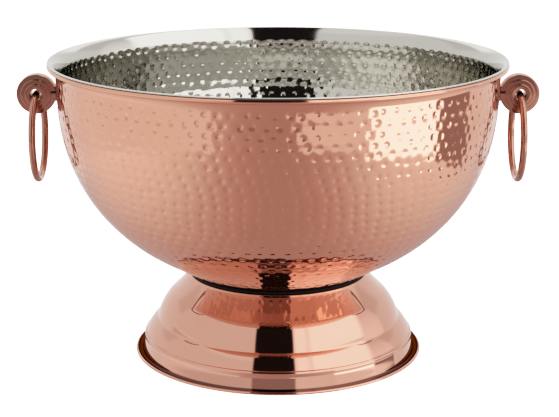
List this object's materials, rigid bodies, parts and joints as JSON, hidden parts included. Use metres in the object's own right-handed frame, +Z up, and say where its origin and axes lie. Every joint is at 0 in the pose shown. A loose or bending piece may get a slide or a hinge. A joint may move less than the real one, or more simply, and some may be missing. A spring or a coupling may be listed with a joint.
{
  "type": "footed party tub",
  "caption": "Wide hammered metal party tub on a turned pedestal foot, with a bright inner bowl and free ring handles, for chilling bottles in ice.",
  "frame": {"origin": "on the floor under the middle of the bowl", "axes": "+Z up out of the bowl, +X from the left handle to the right handle, -Y towards the viewer"},
  "size_m": [0.4348, 0.3806, 0.2514],
  "materials": {
    "hammered_copper": "copper-plated steel sheet, polished and hammered",
    "hammered_nickel": "nickel-plated steel sheet, polished and hammered",
    "polished_copper": "copper-plated steel sheet, spun and polished",
    "handle_copper": "copper-plated turned and bent ferrous metal, polished",
    "black_rubber": "matt black",
    "zinc_fastener": "zinc-plated steel"
  },
  "bodies": {
    "tub": {"outer_bowl": "hammered_copper", "inner_bowl": "hammered_nickel", "pedestal_foot": "polished_copper", "neck_gasket": "black_rubber", "bowl_stud": "zinc_fastener", "foot_washer": "zinc_fastener", "foot_lock_washer": "zinc_fastener", "foot_nut": "zinc_fastener", "left_handle_boss": "handle_copper", "right_handle_boss": "handle_copper", "left_boss_screw": "zinc_fastener", "right_boss_screw": "zinc_fastener", "left_boss_washer": "black_rubber", "right_boss_washer": "black_rubber"},
    "left_ring": {"left_handle_ring": "handle_copper"},
    "right_ring": {"right_handle_ring": "handle_copper"}
  },
  "joints": [
    {"name": "left_ring_swing", "type": "hinge", "parent": "tub", "child": "left_ring", "pos_m": [-0.201, 0, 0.2212], "axis": [0, 1, 0], "range_deg": [-23, 198]},
    {"name": "right_ring_swing", "type": "hinge", "parent": "tub", "child": "right_ring", "pos_m": [0.201, 0, 0.2212], "axis": [0, -1, 0], "range_deg": [-23, 198]}
  ]
}
